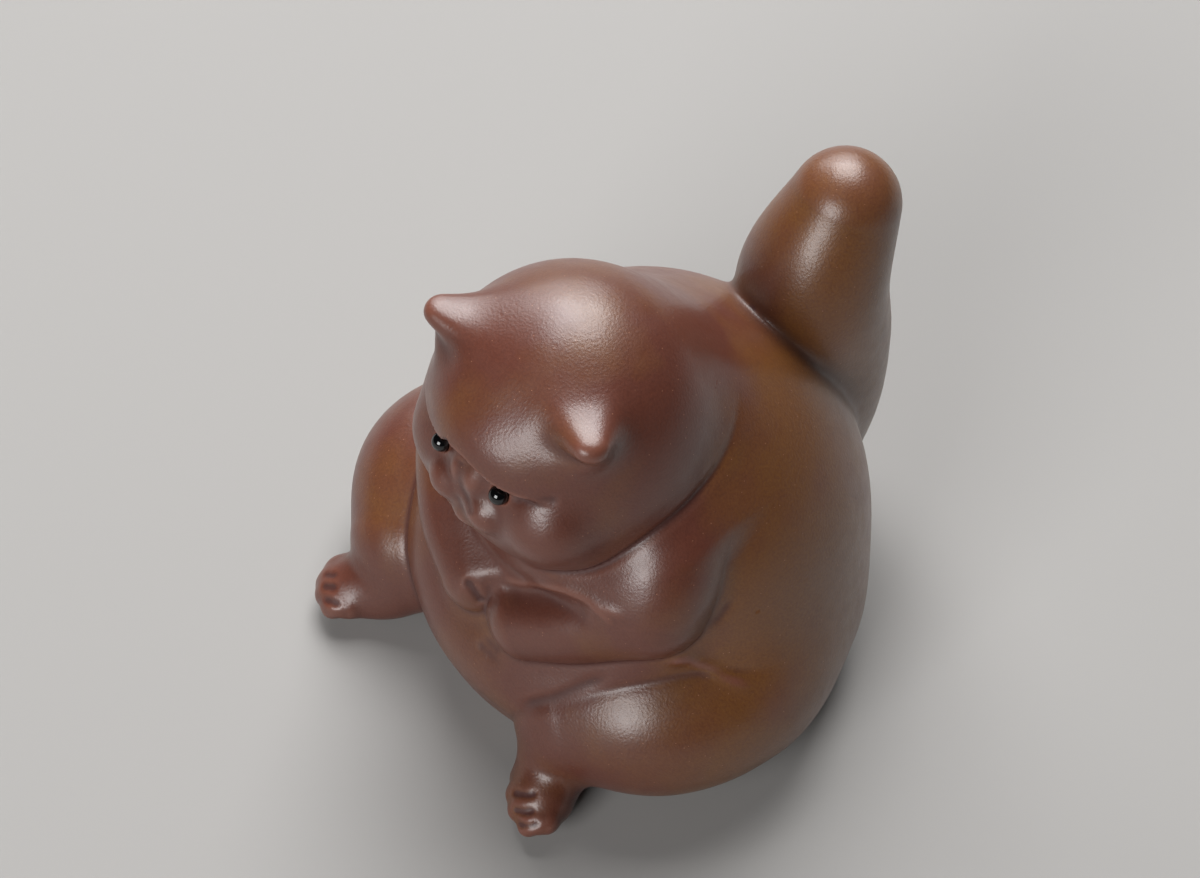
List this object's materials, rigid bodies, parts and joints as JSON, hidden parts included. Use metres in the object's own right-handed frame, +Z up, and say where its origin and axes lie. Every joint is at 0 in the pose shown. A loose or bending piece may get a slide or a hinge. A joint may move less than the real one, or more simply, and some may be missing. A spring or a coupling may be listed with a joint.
{
  "type": "cat tea pet figurine",
  "caption": "Seated fat cat in unglazed purple-brown clay with glossy bead eyes and a club tail, a tea table figure.",
  "frame": {"origin": "on the table, under the middle of the torso", "axes": "+Z up; the cat faces -Y and its left side is +X"},
  "size_m": [0.084, 0.088, 0.0812],
  "materials": {
    "clay": "satin",
    "eye_glaze": "gloss"
  },
  "bodies": {
    "root": {"body_shell": "clay", "base_slab": "clay", "head_shell": "clay", "left_ear": "clay", "right_ear": "clay", "left_eye": "eye_glaze", "right_eye": "eye_glaze", "left_arm": "clay", "right_arm": "clay", "left_thigh": "clay", "right_thigh": "clay", "left_foot": "clay", "right_foot": "clay", "tail": "clay"}
  },
  "joints": []
}
